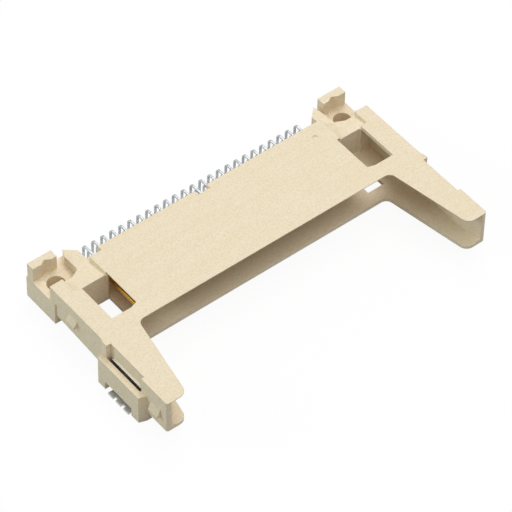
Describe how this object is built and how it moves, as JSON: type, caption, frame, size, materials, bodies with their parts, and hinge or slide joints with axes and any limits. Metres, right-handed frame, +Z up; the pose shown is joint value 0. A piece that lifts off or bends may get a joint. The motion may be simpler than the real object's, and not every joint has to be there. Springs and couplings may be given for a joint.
{
  "type": "compact flash card connector",
  "caption": "Surface-mount header for a flash memory card: moulded housing with two guide arms, two rows of staggered contacts, board holes and steel board locks.",
  "frame": {"origin": "on the circuit board's surface, under the middle of the whole part's bounding box", "axes": "+X along the contact rows, +Y the way the card goes in (the tails are at +Y), +Z up from the circuit board"},
  "size_m": [0.0476, 0.0264, 0.0062],
  "materials": {
    "housing": "moulded, fine matte",
    "contact": "tin plated tail, gold plated pin",
    "board_lock": "tin plated"
  },
  "bodies": {
    "root": {"housing": "housing", "board_lock_left": "board_lock", "board_lock_right": "board_lock", "contact_upper_01": "contact", "contact_upper_02": "contact", "contact_upper_03": "contact", "contact_upper_04": "contact", "contact_upper_05": "contact", "contact_upper_06": "contact", "contact_upper_07": "contact", "contact_upper_08": "contact", "contact_upper_09": "contact", "contact_upper_10": "contact", "contact_upper_11": "contact", "contact_upper_12": "contact", "contact_upper_13": "contact", "contact_upper_14": "contact", "contact_upper_15": "contact", "contact_upper_16": "contact", "contact_upper_17": "contact", "contact_upper_18": "contact", "contact_upper_19": "contact", "contact_upper_20": "contact", "contact_upper_21": "contact", "contact_upper_22": "contact", "contact_upper_23": "contact", "contact_upper_24": "contact", "contact_upper_25": "contact", "contact_lower_01": "contact", "contact_lower_02": "contact", "contact_lower_03": "contact", "contact_lower_04": "contact", "contact_lower_05": "contact", "contact_lower_06": "contact", "contact_lower_07": "contact", "contact_lower_08": "contact", "contact_lower_09": "contact", "contact_lower_10": "contact", "contact_lower_11": "contact", "contact_lower_12": "contact", "contact_lower_13": "contact", "contact_lower_14": "contact", "contact_lower_15": "contact", "contact_lower_16": "contact", "contact_lower_17": "contact", "contact_lower_18": "contact", "contact_lower_19": "contact", "contact_lower_20": "contact", "contact_lower_21": "contact", "contact_lower_22": "contact", "contact_lower_23": "contact", "contact_lower_24": "contact", "contact_lower_25": "contact"}
  },
  "joints": []
}
